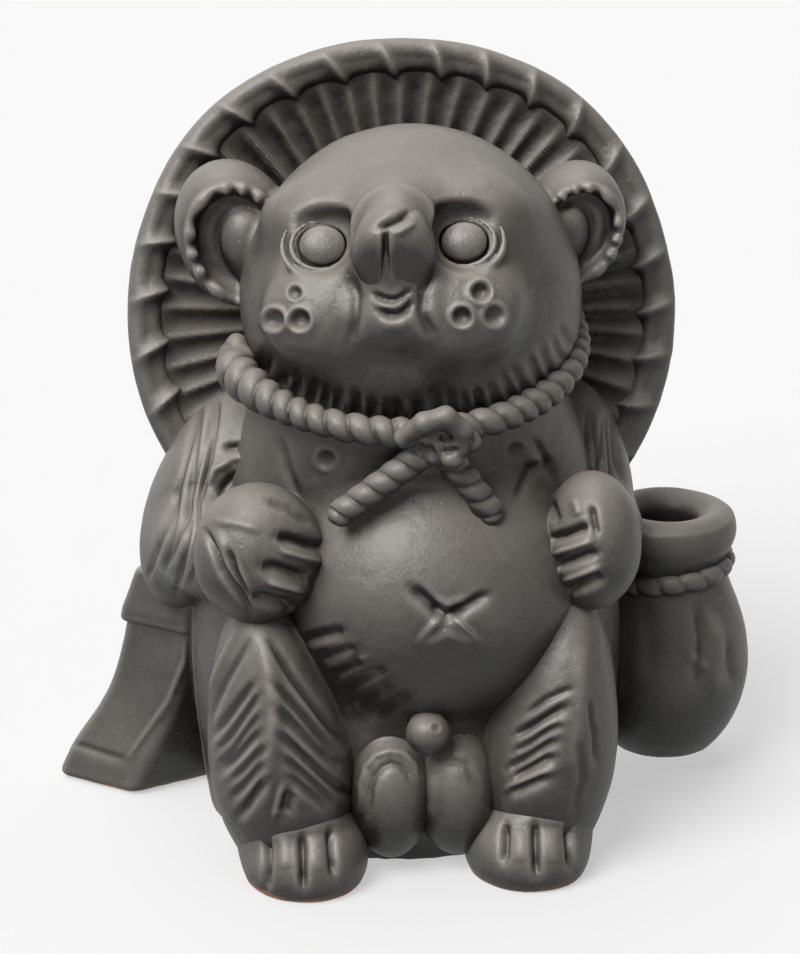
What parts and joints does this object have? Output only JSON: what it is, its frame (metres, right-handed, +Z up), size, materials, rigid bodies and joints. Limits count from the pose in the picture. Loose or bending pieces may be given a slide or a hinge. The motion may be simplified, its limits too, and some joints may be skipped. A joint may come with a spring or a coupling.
{
  "type": "tanuki statue",
  "caption": "Seated round-bellied tanuki figure of dark glazed pottery with a straw hat behind its head, a ledger book and a sake flask at its hips, standing flat on a shelf as an ornament.",
  "frame": {"origin": "on the ground, under the middle of the body between its flanks", "axes": "+Z up, the figure faces -Y, +X is towards the sake flask"},
  "size_m": [0.1635, 0.11, 0.1763],
  "materials": {
    "body_glaze": "satin dark brown-black glaze",
    "head_glaze": "satin dark brown-black glaze",
    "eye_glaze": "satin dark brown-black glaze",
    "hat_glaze": "satin dark brown-black glaze",
    "rope_glaze": "satin dark brown-black glaze",
    "limb_glaze": "satin dark brown-black glaze",
    "ledger_glaze": "satin dark brown-black glaze",
    "flask_glaze": "satin dark brown-black glaze",
    "bare_clay": "matt unglazed red clay"
  },
  "bodies": {
    "root": {"front_body_shell": "body_glaze", "back_body_shell": "body_glaze", "base_slab": "bare_clay", "head_shell": "head_glaze", "left_eye": "eye_glaze", "right_eye": "eye_glaze", "nose": "head_glaze", "left_ear": "head_glaze", "right_ear": "head_glaze", "hat_dish": "hat_glaze", "hat_rim": "hat_glaze", "chin_rope_left": "rope_glaze", "chin_rope_right": "rope_glaze", "rope_knot": "rope_glaze", "rope_tail_left": "rope_glaze", "rope_tail_right": "rope_glaze", "left_arm": "limb_glaze", "right_arm": "limb_glaze", "left_paw": "limb_glaze", "right_paw": "limb_glaze", "left_leg": "limb_glaze", "right_leg": "limb_glaze", "left_foot": "limb_glaze", "right_foot": "limb_glaze", "pouch_left": "body_glaze", "pouch_right": "body_glaze", "pouch_knob": "body_glaze", "ledger_block": "ledger_glaze", "ledger_band": "ledger_glaze", "flask": "flask_glaze", "flask_cord": "rope_glaze", "brush_tail": "limb_glaze"}
  },
  "joints": []
}
